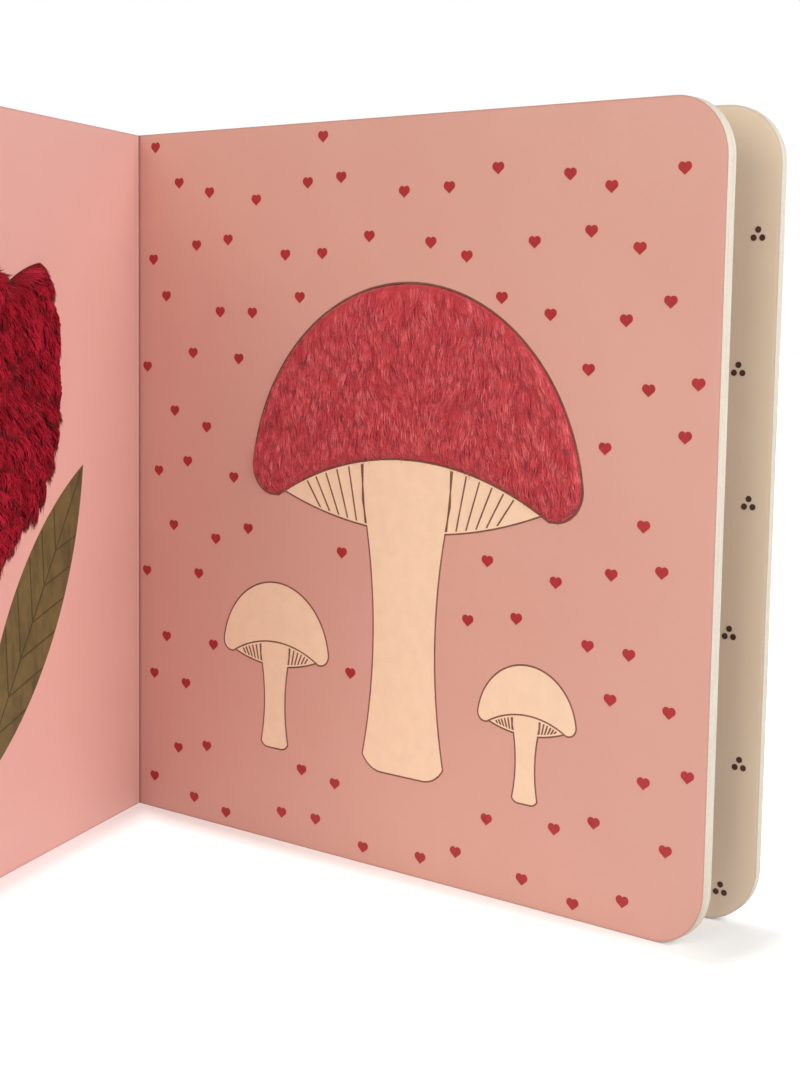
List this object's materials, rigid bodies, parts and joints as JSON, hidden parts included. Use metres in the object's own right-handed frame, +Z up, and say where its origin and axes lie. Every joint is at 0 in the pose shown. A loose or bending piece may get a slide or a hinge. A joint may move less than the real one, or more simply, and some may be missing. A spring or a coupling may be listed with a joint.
{
  "type": "touch-and-feel book",
  "caption": "Square board book standing open in a V, with two plush patches in die-cut windows and hinged covers.",
  "frame": {"origin": "foot of the fold between the two open pages, on the surface that the book stands on", "axes": "+Z up along the fold, -Y out of the open pages, +X to the right of a reader in front"},
  "size_m": [0.2399, 0.1591, 0.18],
  "materials": {
    "board": "cut board",
    "pink_sheet": "matt laminated print",
    "pale_sheet": "matt laminated print",
    "dark_ink": "print",
    "cover_stock": "matt laminated cover",
    "short_plush": "short dense plush",
    "long_plush": "long soft plush",
    "heart_ink": "print",
    "cream_ink": "print",
    "brown_ink": "print",
    "olive_ink": "print",
    "dark_olive_ink": "print"
  },
  "bodies": {
    "book_block": {"pages": "board", "open_spread_sheet": "pink_sheet", "leaf_back_sheet": "pale_sheet", "leaf_back_sprigs": "dark_ink", "spine": "cover_stock", "cap_plush": "short_plush", "bloom_plush": "long_plush", "hearts": "heart_ink", "toadstool_print": "cream_ink", "toadstool_lines": "brown_ink", "tulip_leaves": "olive_ink", "tulip_veins": "dark_olive_ink"},
    "front_board": {"front_cover": "cover_stock"},
    "back_board": {"back_cover": "cover_stock", "back_cover_lining": "pale_sheet", "lining_sprigs": "dark_ink"}
  },
  "joints": [
    {"name": "front_cover_hinge", "type": "hinge", "parent": "book_block", "child": "front_board", "pos_m": [-0.00947, 0.00662, 0.09], "axis": [0, 0, -1], "range_deg": [-2, 125]},
    {"name": "back_cover_hinge", "type": "hinge", "parent": "book_block", "child": "back_board", "pos_m": [0.00467, 0.00309, 0.09], "axis": [0, 0, 1], "range_deg": [-6.3, 125]}
  ]
}
